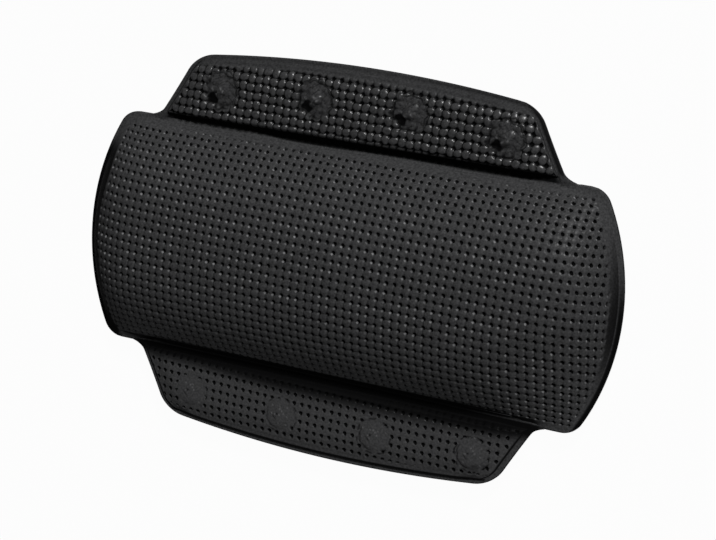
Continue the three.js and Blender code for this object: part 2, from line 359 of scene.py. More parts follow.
walk_y, arc_y = walk(FOOT_WIDTH, 3000, lambda y: pad_height(0, y))
walk_x, arc_x = walk(FOOT_LENGTH, 6000, lambda x: pad_height(x, 0))


def along_arch(y):
    return look_up(y, walk_y, arc_y)


def along_length(x):
    return look_up(x, walk_x, arc_x)


print("arch mm:", round(2 * arc_y[-1] / MM, 1), "length mm:", round(2 * arc_x[-1] / MM, 1))

# %% [markdown]
# In the middle the grid follows the weave, with six steps to a strand, closer together at the pits.
# Round the edge, where the weave is cut off by the outline, the last rows and columns fan out to
# meet it.

# %% The pad's grid of points
STEPS = np.array([0, 0.12, 0.25, 0.5, 0.75, 0.88])
LAST_COLUMN, LAST_ROW = 28, 13


def fan(count, power):
    return 1 - (1 - np.arange(1, count + 1) / count) ** power


def pad_plan(columns, rows, fan_columns, fan_rows):
    """Places in plan, where columns and rows are weave numbers and the fans reach the foot."""
    ends = np.ones(len(fan_columns)), np.ones(len(fan_rows))
    column = np.concatenate([columns[0] * ends[0], columns, columns[-1] * ends[0]])
    row = np.concatenate([rows[0] * ends[1], rows, rows[-1] * ends[1]])
    column, row = np.meshgrid(column, row)
    column_fan = np.concatenate([fan_columns[::-1], 0 * columns, fan_columns])
    row_fan = np.concatenate([fan_rows[::-1], 0 * rows, fan_rows])[:, None]
    s, t = weave_place(column, row)
    t = t + (np.sign(row) * arc_y[-1] - t) * row_fan
    x, y = look_up(s, arc_x, walk_x), look_up(t, arc_y, walk_y)
    x = x + (np.sign(column) * foot_x(y) - x) * column_fan
    return x, y


columns = np.append((np.arange(1 - LAST_COLUMN, LAST_COLUMN)[:, None] + STEPS).ravel(), LAST_COLUMN)
rows = np.append((np.arange(1 - LAST_ROW, LAST_ROW)[:, None] + STEPS).ravel(), LAST_ROW)
pad_x, pad_y = pad_plan(columns, rows, fan(48, 1.3), fan(18, 1.2))
pad_grid = np.stack([pad_x, pad_y, pad_height(pad_x, pad_y)], axis=2)
print("pad grid:", pad_grid.shape)

# %% [markdown]
# A filled cover is never a perfect curve. Air is pressed into a light copy of the sheet by a short
# cloth simulation with the weld held still. The fine grid itself has far too many corners to
# simulate.

# %% A cloth that is filled with air
LAST_FRAME = 20


def fill_with_air(cage):
    """The points of a light sheet after a short simulation, with its edge held still."""
    sheet = lay_sheet("air_test", cage)
    corners = np.arange(cage.shape[0] * cage.shape[1]).reshape(cage.shape[:2])
    weld = sheet.vertex_groups.new(name="weld")
    weld.add([int(k) for k in edge_ring(corners)], 1.0, "REPLACE")
    cloth = sheet.modifiers.new("cloth", "CLOTH")
    cloth.settings.vertex_group_mass = "weld"
    cloth.settings.mass = 0.02
    cloth.settings.use_pressure = True
    cloth.settings.uniform_pressure_force = 4
    cloth.settings.effector_weights.gravity = 0
    cloth.point_cache.frame_start, cloth.point_cache.frame_end = 1, LAST_FRAME
    for number in range(1, LAST_FRAME + 1):
        bpy.context.scene.frame_set(number)
    filled = sheet.evaluated_get(bpy.context.evaluated_depsgraph_get()).data
    flat = np.empty(corners.size * 3, np.float32)
    filled.vertices.foreach_get("co", flat)
    bpy.context.scene.frame_set(1)
    bpy.data.objects.remove(sheet)
    return flat.reshape(cage.shape)


print("frames to simulate:", LAST_FRAME)

# %% [markdown]
# The light copy keeps every sixth row and column. Its moves are scaled down so that the largest is
# 0.8 mm, and between its corners they are filled in evenly, first along the rows and then along the
# columns.

# %% Carry the air's push over to the fine grid
CAGE_STEP = 6
AIR_CAP = 0.8 * MM


def spread(values, picked, count):
    """Rows of values at the picked numbers, filled in between for all rows."""
    return np.stack([np.interp(np.arange(count), picked, column) for column in values.T], axis=1)


def air_push(points):
    rows, columns = points.shape[:2]
    pick_rows = np.unique(np.r_[0:rows:CAGE_STEP, rows - 1])
    pick_columns = np.unique(np.r_[0:columns:CAGE_STEP, columns - 1])
    cage = points[pick_rows][:, pick_columns]
    moved = fill_with_air(cage) - cage
    far = np.linalg.norm(moved, axis=2, keepdims=True)
    print("air moves mm: mean", round(far.mean() / MM, 2), "most", round(far.max() / MM, 2))
    moved *= AIR_CAP / np.maximum(far.max(), AIR_CAP)
    layers = []
    for k in range(3):
        wide = spread(moved[..., k].T, pick_columns, columns).T
        layers.append(spread(wide, pick_rows, rows))
    return np.stack(layers, axis=2)


filled_grid = pad_grid + air_push(pad_grid)
print("filled grid:", filled_grid.shape)

# %% [markdown]
# The weave fades out a little way inside the outline, which leaves the smooth band that the
# photograph shows along the ends and the foot of the arch. The cover was laid a little askew, so the
# band is not the same all round.

# %% Where the pad's weave shows
FADE = 1 * MM
UPPER_FOOT_BAND, LOWER_FOOT_BAND = 4.0 * MM, 1.4 * MM


def from_end(x, y):
    return END_RADIUS - np.hypot(np.maximum(np.abs(x) - (HALF_LENGTH - END_RADIUS), 0), y)


def plain_end(x, y):
    """How wide the smooth band is at the pad's ends."""
    left = 14.0 * MM - 7.4 * MM * ease(24 * MM, 56 * MM, np.abs(y))
    right = 5.4 * MM - 1.6 * MM * ease(0, -52 * MM, y)
    return np.where(x > 0, right, left)


end_band = plain_end(pad_x, pad_y)
foot_band = np.where(pad_y > 0, UPPER_FOOT_BAND, LOWER_FOOT_BAND)
to_foot = arc_y[-1] - np.abs(along_arch(pad_y))
pad_shown = ease(end_band, end_band + FADE, from_end(pad_x, pad_y))
pad_shown = pad_shown * ease(foot_band, foot_band + FADE, to_foot)
print("share of the pad with weave:", round(float(pad_shown.mean()), 2))

# %% [markdown]
# The strands of the pad are pulled flat by the foam below, so that mainly the pits between them show.
# The relief is pushed out from the filled grid, square to its surface, and the sheet is laid on it.

# %% The pad's cover with its weave
PAD_STRAND, PAD_PIT = 0.55 * MM, 1.0 * MM


def outward(points):
    normal = np.cross(np.gradient(points, axis=1), np.gradient(points, axis=0))
    return normal / np.linalg.norm(normal, axis=2, keepdims=True)


across, along = weave_numbers(along_length(pad_x), along_arch(pad_y))
relief = PAD_STRAND * (strands(across, along, 0.58, 0.50, 3.0) - 1) - PAD_PIT * pit_depth(across, along)
pad_shape = filled_grid + outward(pad_grid) * (relief * pad_shown)[..., None]
pad_cover = lay_sheet("pad_cover", pad_shape)
print("deepest pit mm:", round(float(relief.min()) / MM, 2))

# %% [markdown]
# Shade is painted on some lines between the strands, mostly on the lower half, and on the left end,
# which lies in its own shade. Highlights are painted on the rims of the pits, strongest on the upper
# slope and at the right. These are notes for the finish, one number for each corner.

# %% The pad's painted shade and highlights


def to_strand_edge(across, along):
    """How far, in strands, each point lies from the nearest edge of a strand."""
    return np.minimum(np.abs(across - np.round(across)), np.abs(along - np.round(along)))


line_share = ease(35 * MM, -25 * MM, pad_y) * (0.35 + 0.65 * luck(across, along))
strand_line_shade = 0.75 * ease(0.13, 0.0, to_strand_edge(across, along)) * line_share
left_shade = 0.3 * ease(-122 * MM, -146 * MM, pad_x) * ease(55 * MM, 35 * MM, pad_y)
highlight_part = np.maximum(ease(-42 * MM, -12 * MM, pad_y), ease(60 * MM, 130 * MM, pad_x))
pad_noted = {
    "shown": pad_shown,
    "hollow": np.maximum(strand_line_shade, left_shade) * pad_shown,
    "polish": 0.06 * pad_shown,
    "wear": (0.1 + 0.9 * highlight_part) * pad_shown,
    "glint": np.zeros_like(pad_shown),
}
print("mean of each note:", {name: round(float(v.mean()), 2) for name, v in pad_noted.items()})

# %% [markdown]
# The pad's weld is a flat edge that is rounded over. Each step of its profile says how far out it
# lies, as a share of the way to the outline, and how high above the seam in millimetres.

# %% The pad's welded rim
EDGE_PROFILE = [
    (0.22, 1.26), (0.45, 1.16), (0.70, 1.12), (0.86, 1.00), (0.95, 0.80),
    (1.0, 0.52), (1.0, 0.18), (0.93, 0.03), (0.8, 0.0),
]
HAIR = 0.01 * MM


def pad_edge(ring):
    """Where the outer edge of the weld lies for each point of a ring along the foot."""
    on_side = np.abs(ring[:, 1]) > FOOT_WIDTH - HAIR
    out_y = ring[:, 1] * SHOULDER_Y / FOOT_WIDTH
    stretched = ring[:, 0] * edge_x(SHOULDER_Y) / foot_x(FOOT_WIDTH)
    out_x = np.where(on_side, stretched, np.sign(ring[:, 0]) * edge_x(out_y))
    return out_x, np.where(on_side, np.sign(ring[:, 1]) * shoulder_y(out_x), out_y)


def pad_rings(ring, profile, level):
    out_x, out_y = pad_edge(ring)
    rings = [ring]
    for reach, lift in profile:
        x = ring[:, 0] + (out_x - ring[:, 0]) * reach
        y = ring[:, 1] + (out_y - ring[:, 1]) * reach
        rings.append(np.stack([x, y, np.full_like(x, level + lift * MM)], axis=1))
    return rings


extrude_rings(pad_cover, pad_rings(edge_ring(pad_shape), EDGE_PROFILE, SEAM))

# %% [markdown]
# The lining follows the plain grid, a wall's thickness further in, with only a few of its rows and
# columns. The notes are kept on the sheet last, when it has all its corners.

# %% The pad's lining
WALL = 1.6 * MM


def thin_out(points, row_step, column_step):
    rows = np.r_[0 : points.shape[0] : row_step, -1]
    columns = np.r_[0 : points.shape[1] : column_step, -1]
    return points[rows][:, columns]


inside = thin_out(pad_grid, 5, 6)
inside = inside * [1 - WALL / HALF_LENGTH, 1 - WALL / HALF_WIDTH, 1] - [0, 0, WALL]
inside[..., 2] = np.maximum(inside[..., 2], SEAM)
line_inside(pad_cover, inside)
note_weave(pad_cover, across, along, **pad_noted)

# %% [markdown]
# ## The flaps
# Each flap is a shallow pad whose sides slant in towards a bowed edge. It is laid out once, at the
# top, and turned half round for the bottom. Its points are laid out with a straight edge first, and
# the bow is added last. At the root a small hollow corner leads into the pad's shoulder.

# %% The flap's outline
ROOT_HALF, TIP_HALF, BOW, FLAP_CORNER = 119.6 * MM, 100.1 * MM, 6.6 * MM, 17 * MM
RIM = 3.2 * MM
FLARE_UP, FLARE_OUT = 5.6 * MM, 6.0 * MM
TUCK = 0.6 * MM
SLANT = (ROOT_HALF - TIP_HALF) / (TIP - ROOT)
SLANT_LENGTH = math.hypot(1, SLANT)


def flap_half_width(y, inset):
    corner_y = TIP - FLAP_CORNER
    corner_x = ROOT_HALF - SLANT * (corner_y - ROOT) - FLAP_CORNER * SLANT_LENGTH
    radius = FLAP_CORNER - inset
    side = ROOT_HALF - SLANT * (y - ROOT) - inset * SLANT_LENGTH
    arc = corner_x + np.sqrt(np.maximum(radius**2 - (y - corner_y) ** 2, 0))
    return np.where(y < corner_y + radius * SLANT / SLANT_LENGTH, side, arc)


def flap_root_edge(y):
    """The flap's outer edge near the root, with its hollow corner."""
    down = np.clip((SHOULDER_Y + FLARE_UP - y) / FLARE_UP, 0, 1)
    flared = ROOT_HALF - SLANT * (y - ROOT) + FLARE_OUT * (1 - np.sqrt(1 - down**2))
    steps = np.linspace(SHOULDER_FROM, SHOULDER_TO, 60)
    shoulder = np.interp(y + TUCK, shoulder_y(steps), steps)
    return np.where(y < SHOULDER_Y, np.minimum(shoulder, flared), flared)


def to_flap_side(x, y):
    return (flap_half_width(y, 0) - np.abs(x)) / SLANT_LENGTH


def bowed(points):
    points = points.copy()
    sag = np.maximum(points[..., 1] - ROOT, 0) / (TIP - ROOT) * BOW
    points[..., 1] -= sag * (points[..., 0] / TIP_HALF) ** 2
    return points


print("flap's sides slant by degrees:", round(math.degrees(math.atan(SLANT)), 1))

# %% [markdown]
# Seen from the side, the flap rises from its flat rim in a small step, swells gently under the weave,
# and drops steeply into the groove of the hinge. The groove is a thin web of welded vinyl, and its
# inner edge runs up into the foot of the pad's arch, so that no gap shows.

# %% The flap's height
GROOVE = SEAM + 0.75 * MM
CUSHION_ROOT = ROOT + 1.2 * MM
RIM_TOP = WELD_TOP - 0.25 * MM
WEB_FOOT, WEB_CURVE = 64.6 * MM, 151.0


def rolled(distance, roll):
    return np.sqrt(np.clip(1 - (1 - np.clip(distance / roll, 0, 1)) ** 2, 0, 1))


def swell(distance):
    return 0.30 * rolled(distance, 1.2 * MM) + 0.70 * ease(-3 * MM, 13 * MM, distance)


def flap_height(x, y):
    to_side = (flap_half_width(y, RIM) - np.abs(x)) / SLANT_LENGTH
    body = swell(to_side) * swell(TIP - RIM - y) * rolled(y - CUSHION_ROOT, 2.8 * MM)
    base = GROOVE + (RIM_TOP - GROOVE) * ease(ROOT, ROOT + 6 * MM, y)
    foot = WEB_CURVE * np.maximum(WEB_FOOT - y, 0) ** 2
    foot = foot * (1 - 0.5 * ease(100 * MM, 116 * MM, np.abs(x)))
    return base + foot + (FLAP_CROWN - base) * body


print("flap's cushion rises mm:", round((FLAP_CROWN - GROOVE) / MM, 1))

# %% [markdown]
# The flap's grid has plain rows across its depth, close together where the surface turns sharply: at
# the hinge, at the step of the cushion and at the tip. Its columns have eight steps to a strand, and
# the last ones fan out to the slanted sides.

# %% The flap's grid of points
TIP_STEPS = np.array([3.6, 3.1, 2.6, 2.1, 1.7, 1.4, 1.1, 0.8, 0.55, 0.35, 0.2, 0.1, 0])
FLAP_STRANDS, STRAND_STEPS = 18, 8


def flap_plan(rows, columns, fan_columns):
    reach = flap_half_width(rows, RIM)[:, None]
    right = columns[-1] + (reach - columns[-1]) * fan_columns
    middle = np.repeat(columns[None, :], len(rows), axis=0)
    x = np.concatenate([-right[:, ::-1], middle, right], axis=1)
    return x, np.repeat(rows[:, None], x.shape[1], axis=1)


hinge_rows, step_rows = np.arange(61.2, 66.8, 0.56), np.arange(66.9, 69.6, 0.3)
tip_rows = TIP / MM - RIM / MM - TIP_STEPS
face_rows = np.arange(69.7, tip_rows[0] - 0.3, 0.5)
flap_rows = np.concatenate([hinge_rows, step_rows, face_rows, tip_rows]) * MM
half_count = FLAP_STRANDS * STRAND_STEPS
flap_columns = np.arange(-half_count, half_count + 1) * STRAND_X / STRAND_STEPS
flat_x, flat_y = flap_plan(flap_rows, flap_columns, fan(56, 1.5))
flap_grid = bowed(np.stack([flat_x, flat_y, flap_height(flat_x, flat_y)], axis=2))
print("flap grid:", flap_grid.shape)

# %% [markdown]
# ## The imprints of the cups
# Where a suction cup's head sits behind it, the cover of a flap is pressed into a ragged disc. The
# middle of each disc lies a few millimetres off the cup's own, because the photograph's discs aren't
# as evenly spaced as the cups. A slow wave makes the discs ragged, and their marks are built from
# thin arcs and soft blots, of which the highest wins at each point.

# %% Places of the cups and helpers for their marks
cup_centres = []
for k in range(1, 5):
    low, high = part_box(f"upper_suction_cup_{k}")
    cup_centres.append(((low + high) / 2).to_2d())


def highest(*layers):
    return np.max(np.broadcast_arrays(*layers), axis=0)


def wander(x, y):
    return np.sin(x / MM * 1.1 + y / MM * 0.6) + np.sin(y / MM * 1.3 - x / MM * 0.4 + 1.0)


def ring_line(r, radius, width):
    return np.exp(-(((r - radius) / width) ** 2))


def arc_line(r, radius, width, toward, low, high):
    return ring_line(r, radius, width) * ease(low, high, toward)


def blot(dx, dy, place, size):
    return np.exp(-(((dx - place[0]) / size[0]) ** 2) - ((dy - place[1]) / size[1]) ** 2)


print("cups at mm:", [[round(v / MM, 1) for v in c] for c in cup_centres])

# %% [markdown]
# On the upper flap the heads pull the vinyl in. Some strands are crushed flat and others stand, a
# thin ring runs round the disc, and beside the button in the middle the vinyl sinks into a crescent.
# Shade is painted into the ring, its arcs, the creases and the crescent, and small highlights are
# painted beside them. All lengths in an imprint are millimetres from its middle.

# %% A deep imprint on the upper flap
DEEP_SHIFTS = ((4.2, -0.4), (4.4, 0.4), (3.0, 1.0), (1.0, -2.4))
DEEP_HIGHLIGHTS = ((-1.6, -1.6), (0.6, 1.2), (1.9, -0.3), (-4.8, 0.2))
BUTTON_LIFT, CRESCENT, LINE_DEPTH = 1.3 * MM, 0.8 * MM, 0.3 * MM


def crescent(number, dx, dy, ragged):
    dx, dy = dx + 4.3 + 0.5 * ragged, dy + 4.4 - 0.3 * number
    return blot(0.70 * dx - 0.72 * dy, 0.72 * dx + 0.70 * dy, (0, 0), (3.9, 2.7))


def creases(number, dx, dy):
    twist = np.sin(0.9 * dx + 1.7 * np.sin(0.55 * dy + number))
    twist = twist * np.sin(0.8 * dy - 1.3 * np.sin(0.5 * dx))
    return 0.75 * ease(0.17, 0.0, np.abs(twist))


def deep_head(number, dx, dy, ragged, chance, edge):
    """The shape of one imprint, what still stands in it, and its painted shade and painted highlights.
    """
    dx, dy = dx - DEEP_SHIFTS[number][0], dy - DEEP_SHIFTS[number][1]
    r = np.hypot(dx, dy) + 0.35 * ragged
    toward = (-0.74 * dx - 0.67 * dy) / np.maximum(np.hypot(dx, dy), 0.01)
    crushed = 1 - ease(8.8 + 1.6 * chance, 10.2 + 1.6 * chance, r)
    line = highest(
        ring_line(r, 9.0, 1.8) * ease(0.26, 0.08, edge) * ease(-0.5, 0.4, toward),
        arc_line(r, 9.7, 0.38, toward, 0.1, -0.5),
        arc_line(r, 11.2, 0.38, toward, 0.3, -0.3),
        0.9 * arc_line(r + 0.5 * ragged, 9.5, 0.9, toward, 0.0, 0.5) * ease(0.25, 0.55, chance),
        creases(number, dx, dy) * crushed * ease(1.5, 4.0, r),
    )
    sink = crescent(number, dx, dy, ragged)
    button = 1 - ease(1.0, 6.0, np.hypot(dx - 0.8, dy - 0.8))
    shape = BUTTON_LIFT * button - CRESCENT * sink - LINE_DEPTH * line
    painted_lights = [blot(dx + 0.4 * ragged, dy, place, (0.55, 0.75)) for place in DEEP_HIGHLIGHTS]
    painted_lights.append(0.45 * arc_line(r, 8.6, 0.5, toward, 0.55, 0.8) * ease(0.3, 0.8, chance))
    dark = np.maximum(ease(0.22, 0.5, sink), 0.95 * line)
    return shape, 1 - crushed * (0.5 + 0.45 * chance), dark, highest(*painted_lights)


print("deep imprints:", len(DEEP_SHIFTS))

# %% [markdown]
# On the lower flap a head only flattens the weave and leaves a thin broken ring with a short mark and
# a spot inside, all shallow dents with shade painted in them, and a few painted highlights. The lower
# flap is laid out at the top and turned later, so the distances are turned here to read as they will
# then.

# %% A faint imprint on the lower flap
FAINT_SHIFT = (3.0, -1.3)
FAINT_HIGHLIGHTS = ((-3.2, 0.1), (-0.4, 3.6), (0.9, 2.4), (1.9, 1.0))
FAINT_CLEAR = (1.0, 0.9, 0.7, 0.25)
FAINT_LIFT = 0.3 * MM


def faint_head(number, dx, dy, ragged, chance, edge):
    """The same as for a deep imprint. The edges of the strands play no part in it."""
    dx, dy = -dx - FAINT_SHIFT[0], -dy - FAINT_SHIFT[1]
    r = np.hypot(dx, dy) + 0.2 * ragged
    turn = np.arctan2(dy, dx)
    dashes = ease(-0.5, 0.5, np.sin(7 * turn + 9 * cup_centres[number].x / MM) + 0.7 * ragged)
    ring = ring_line(r, 10.0, 0.5) * dashes
    inner = 0.9 * arc_line(r, 8.4, 0.4, np.cos(turn - 3.6), 0.4, 0.8)
    mark = 0.9 * blot(dx + 0.9 * (dy + 1.8), dy, (-3.6, -1.8), (0.55, 1.5))
    spot = 0.95 * blot(dx, dy, (-2.2, 0.3), (0.8, 0.7))
    line = highest(FAINT_CLEAR[number] * np.maximum(ring, inner), mark, spot)
    shape = FAINT_LIFT * (1 - ease(3.0, 9.0, r)) - LINE_DEPTH * line
    painted_lights = [0.7 * blot(dx, dy, place, (0.45, 0.5)) for place in FAINT_HIGHLIGHTS]
    return shape, ease(8.4 + 0.9 * chance, 9.6 + 0.9 * chance, r), line, highest(*painted_lights)


print("faint imprints:", len(FAINT_CLEAR))

# %% [markdown]
# The four imprints of a flap are put together here. Their shapes add up, a strand stands only where
# no head crushes it, and at each point the darkest painted shade and the brightest painted highlight
# win.

# %% Helper that presses four heads into a flap


def press_heads(one_head, across, along):
    x, y = flap_grid[..., 0], flap_grid[..., 1]
    ragged, chance, edge = wander(x, y), luck(across, along), to_strand_edge(across, along)
    shape, standing = np.zeros_like(x), np.ones_like(x)
    dark, pale = np.zeros_like(x), np.zeros_like(x)
    for number, centre in enumerate(cup_centres):
        dx, dy = (x - centre.x) / MM, (y - centre.y) / MM
        moved, stands, line, painted_lights = one_head(number, dx, dy, ragged, chance, edge)
        shape += moved
        standing *= stands
        dark, pale = np.maximum(dark, line), np.maximum(pale, painted_lights)
    print("deepest place of an imprint mm:", round(float(shape.min()) / MM, 2))
    return shape, standing, dark, pale * (1 - dark)


# %% [markdown]
# The rim of a flap is pushed out square to the outline, and near the root sideways to the flared
# edge. One helper gives the rings of the rim, because the flap's back has the same edge as its cover.
# At the hinge nothing is pushed out: there the rings sink, so that the edge is tucked into the weld.

# %% Helper for the flap's rim


def flap_push(flat_ring, at_root):
    """The way from each point of the ring to the outline, in widths of the rim."""
    x, y = flat_ring[:, 0], flat_ring[:, 1]
    step = np.roll(flat_ring, -1, axis=0) - np.roll(flat_ring, 1, axis=0)
    push = np.stack([step[:, 1], -step[:, 0]], axis=1)
    push /= np.linalg.norm(push, axis=1, keepdims=True)
    sideways = np.zeros_like(push)
    sideways[:, 0] = np.sign(x) * (flap_root_edge(y) - flap_half_width(y, RIM)) / RIM
    share = ease(92 * MM, 80 * MM, y)[:, None]
    push = push * (1 - share) + sideways * share
    push[at_root | (y < HALF_WIDTH)] = 0
    return push


def flap_rings(flat_ring, shape_ring, profile, level, is_cover):
    x, y, shape_z = flat_ring[:, 0], flat_ring[:, 1], shape_ring[:, 2]
    first = y.min()
    at_root = (np.abs(x) < flap_half_width(first, RIM) - HAIR) & (y < first + HAIR)
    push = flap_push(flat_ring, at_root)
    tucked = y < SHOULDER_Y - 0.3 * MM
    sunk_to = level if is_cover else SEAM - 0.02 * MM
    rings = [shape_ring]
    for number, (reach, lift) in enumerate(profile, 1):
        share = number / len(profile)
        ring = flat_ring.copy()
        ring[:, :2] += push * RIM * reach
        ring = bowed(ring)
        if is_cover:
            lift = np.where(tucked & (share < 0.85), 1.12, lift)
        ring[:, 2] = np.where(at_root, shape_z + (sunk_to - shape_z) * share, level + lift * MM)
        rings.append(ring)
    return rings


flap_ring = edge_ring(np.stack([flat_x, flat_y, flap_grid[..., 2]], axis=2))
print("points round the flap:", len(flap_ring))

# %% [markdown]
# Both flaps are made the same way. A flap's weave shows inside its rim and stops at the hinge. Where
# the strands stand up as round beads, they are less even than where they are pressed flat.

# %% The flap's weave and the way it is closed
RIM_PROFILE = [
    (0.10, 1.32), (0.30, 1.18), (0.55, 1.20), (0.76, 1.20), (0.88, 1.10),
    (0.96, 0.88), (1.0, 0.60), (1.0, 0.2), (0.97, 0.05), (0.85, 0.0),
]
FLAP_WALL, FLAP_LINING = 1.4 * MM, 1.7 * MM
UNEVEN = 0.06


def flap_shown(start):
    plain = np.where(flat_x > 0, 3.5 * MM, 4.2 * MM)
    shown = ease(plain, plain + 0.7 * MM, to_flap_side(flat_x, flat_y))
    shown = shown * ease(6.2 * MM, 7.2 * MM, TIP - flat_y)
    return shown * ease(start, start + 0.8 * MM, flat_y)


def flap_weave(beaded):
    over_arch = along_arch(FOOT_WIDTH) - FOOT_WIDTH
    across, along = weave_numbers(flap_grid[..., 0], flap_grid[..., 1] + over_arch)
    across = across + UNEVEN * beaded * np.sin(1.9 * along + 1.3 * across)
    along = along + UNEVEN * beaded * np.sin(2.3 * across - 0.9 * along)
    return across, along


def close_flap(name, shape):
    cover = lay_sheet(name, shape)
    extrude_rings(cover, flap_rings(flap_ring, edge_ring(shape), RIM_PROFILE, SEAM, True))
    inside = thin_out(flap_grid, 4, 6)
    inside = inside * [1 - FLAP_WALL / ROOT_HALF, 1, 1] - [0, 0, FLAP_LINING]
    inside[..., 2] = np.maximum(inside[..., 2], SEAM)
    line_inside(cover, inside)
    return cover


print("share of the flap with weave:", round(float(flap_shown(ROOT).mean()), 2))

# %% [markdown]
# The weave of the upper flap stands out in round beads. That of the lower one is pressed flatter, so
# that mainly its pits show, but near the hinge its strands keep some height. Shade is painted into the
# gaps between beads and lightly over all of the beaded weave, a little light is painted over the
# flatter parts, and highlights on the rims of flat pits; these and the beads' polish are noted for the
# finish.

# %% The flaps' covers
HINGE_BEAD, FLAT_BEAD = 0.8 * MM, 0.5 * MM


def flap_cover(name, one_head, bead, pit, start, rise, **strand):
    shown = flap_shown(start)
    near = ease(80 * MM, 69 * MM, flat_y) * (0.3 + 0.7 * ease(20 * MM, -60 * MM, flat_x))
    bead = np.maximum(bead, HINGE_BEAD * near)
    beaded = np.minimum(1, bead / MM)
    across, along = flap_weave(beaded)
    pressed, standing, dark, pale = press_heads(one_head, across, along)
    top = strands(across, along, **strand)
    uneven = 1 - 0.2 * beaded * (1 - luck(across, along)) * ease(0.0, 0.6, top)
    relief = bead * (top * uneven * standing - 0.6) - pit * pit_depth(across, along) * standing
    relief = relief * shown * ease(start, start + rise, flat_y) + pressed
    cover = close_flap(name, flap_grid + outward(flap_grid) * relief[..., None])
    gap_shade = np.maximum(ease(0.84, 0.34, top) * standing, 0.12) * shown * beaded
    note_weave(
        cover, across, along,
        shown=shown * standing,
        hollow=np.maximum(gap_shade, dark),
        polish=(0.25 + 0.5 * standing) * shown * beaded,
        wear=0.45 * shown * (bead < FLAT_BEAD) * ease(70 * MM, 74 * MM, flat_y),
        glint=np.maximum(pale, 0.06 * (1 - beaded)),
    )
    return cover


upper_flap_cover = flap_cover(
    "upper_flap_cover", deep_head, bead=1.25 * MM, pit=0.35 * MM,
    start=67.3 * MM, rise=0.8 * MM, long=0.57, short=0.47, power=2.6,
)
lower_flap_cover = flap_cover(
    "lower_flap_cover", faint_head, bead=0.2 * MM, pit=1.0 * MM,
    start=66.2 * MM, rise=5.0 * MM, long=0.58, short=0.50, power=4.0,
)

# %% [markdown]
# The lower flap was laid out at the top like the upper one, so it is turned half round about the
# pillow's middle. The turn is applied, because a finished piece keeps its place in its mesh.

# %% Turn the lower flap


def turn_half_round(piece):
    make_active(piece)
    piece.rotation_euler.z = math.pi
    bpy.ops.object.transform_apply(location=False, rotation=True, scale=False)
    print(piece.name, "lowest y mm:", round(min(c.co.y for c in piece.data.vertices) / MM, 1))


turn_half_round(lower_flap_cover)

# %% [markdown]
# ## Painted shade
# In the photograph the smooth vinyl is nearly black where it turns away from the light above, and so
# are the low places that hardly any light reaches. Shade is painted on both through the sheets' notes,
# the first from the way each corner faces and the second from its place.

# %% Helper that paints shade on smooth places that face away and on low places
LIGHT_SIDE = np.array([0.05, 0.5, 0.86])
TURNED_AWAY, FACING = 0.42, 0.74


def note_dark(piece, low_places):
    count = len(piece.data.vertices)
    places, normals = np.empty(count * 3, np.float32), np.empty(count * 3, np.float32)
    shown, hollow = np.empty(count, np.float32), np.empty(count, np.float32)
    piece.data.vertices.foreach_get("co", places)
    piece.data.vertices.foreach_get("normal", normals)
    piece.data.attributes["shown"].data.foreach_get("value", shown)
    piece.data.attributes["hollow"].data.foreach_get("value", hollow)
    facing = normals.reshape(-1, 3) @ LIGHT_SIDE
    # Painted shade on smooth vinyl that faces away from the light.
    turned = 0.92 * (1 - shown) * ease(FACING, TURNED_AWAY, facing)
    dark = highest(hollow, turned, low_places(places.reshape(-1, 3)))
    piece.data.attributes["hollow"].data.foreach_set("value", dark.astype(np.float32))
    print(piece.name, "share in the dark:", round(float(dark.mean()), 2))


# %% [markdown]
# Shade is painted on the pad's low places: the outer welds of its two ends, most of all the left one,
# and the last millimetres of its lower foot.

# %% Painted shade on the pad's low places
RIGHT_LOW, LEFT_LOW = 2.9 * MM, 1.4 * MM


def pad_low_places(points):
    x, y = points[:, 0], points[:, 1]
    right = x > 0
    reach = np.where(right, RIGHT_LOW, plain_end(x, y) + LEFT_LOW)
    low = ease(reach, reach - 1.2 * MM, from_end(x, y)) * ease(110 * MM, 125 * MM, np.abs(x))
    low = low * ease(np.where(right, 30 * MM, 52 * MM), np.where(right, 0, 40 * MM), y)
    foot = ease(-59.5 * MM, -61 * MM, y) * ease(126 * MM, 118 * MM, np.abs(x))
    return 0.98 * np.maximum(low, foot)


note_dark(pad_cover, pad_low_places)

# %% [markdown]
# Shade is painted on a flap's low places: the groove of the hinge and the line where its cushion rises
# from the rim. On the lower flap the painted shade runs on from the groove over its first rows, as a
# painted shadow of the pad. The upper rim is also painted dark outside that line, on the right and
# along part of the tip, and lightly within about six millimetres of the edge. To measure from the
# outline, the bow is taken out of the points again.

# %% Painted shade on the flaps' low places


def flap_edge(points, way):
    """How far each point lies from the outline and from its side, if the tip is nearest, and its y."""
    x, y = way * points[:, 0], way * points[:, 1]
    y = ROOT + (y - ROOT) / (1 - BOW / (TIP - ROOT) * (x / TIP_HALF) ** 2)
    to_side = to_flap_side(x, y)
    return np.minimum(to_side, TIP - y), to_side, TIP - y < to_side, y


def upper_low_places(points):
    x = points[:, 0]
    edge, to_side, on_tip, y = flap_edge(points, 1)
    line = np.where(on_tip | (x > 0), 0, ring_line(edge, RIM, 0.7 * MM))
    outer = ease(2.6 * MM, 1.8 * MM, edge) * np.where(on_tip, 0.55 * ease(-10 * MM, 70 * MM, x), x > 0)
    rim = np.maximum(0.9 * line, 0.88 * outer) * ease(67 * MM, 70 * MM, y)
    start = 62.5 * MM + 1.0 * MM * ease(-40 * MM, -62 * MM, x) + 0.4 * MM * np.sin(x / (17 * MM))
    groove = ease(start, start + 0.8 * MM, y) * ease(68.2 * MM, 67.4 * MM, y)
    groove = groove * ease(1 * MM, 6 * MM, to_side)
    return highest(rim, 0.97 * groove, 0.22 * ease(6.4 * MM, 5.2 * MM, edge))


